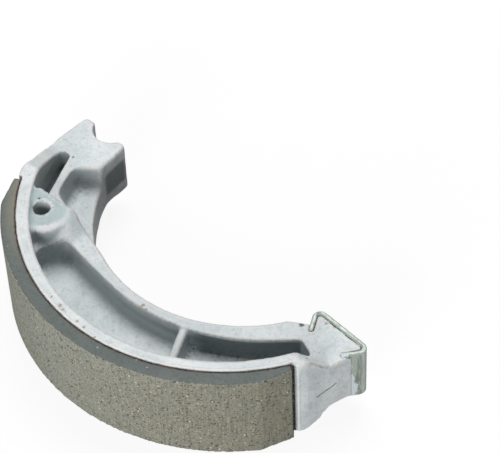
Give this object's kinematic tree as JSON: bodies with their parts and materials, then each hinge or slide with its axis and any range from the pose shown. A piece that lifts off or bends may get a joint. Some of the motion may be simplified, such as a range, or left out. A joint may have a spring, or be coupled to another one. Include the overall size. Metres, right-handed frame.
{
  "type": "drum brake shoe",
  "caption": "Curved drum brake shoe: a light-alloy casting with drafted pockets, ribs and spring bosses, a bonded friction lining, a half-round pivot seat and a folded steel wear cap.",
  "frame": {"origin": "on the axis of the brake drum, in the plane of the rim's lower edge", "axes": "+Z along the drum axis, +X towards the middle of the lining, +Y towards the end that the cam spreads"},
  "size_m": [0.0616, 0.1112, 0.028],
  "materials": {
    "casting": "shot-blasted die casting, matte with a fine grain",
    "lining": "ground moulded friction composite with light and dark specks",
    "bond": "cured adhesive, rust brown",
    "cap": "dull zinc-plated sheet"
  },
  "bodies": {
    "root": {"shoe_casting": "casting", "friction_lining": "lining", "bond_layer": "bond", "cam_wear_cap": "cap"}
  },
  "joints": []
}
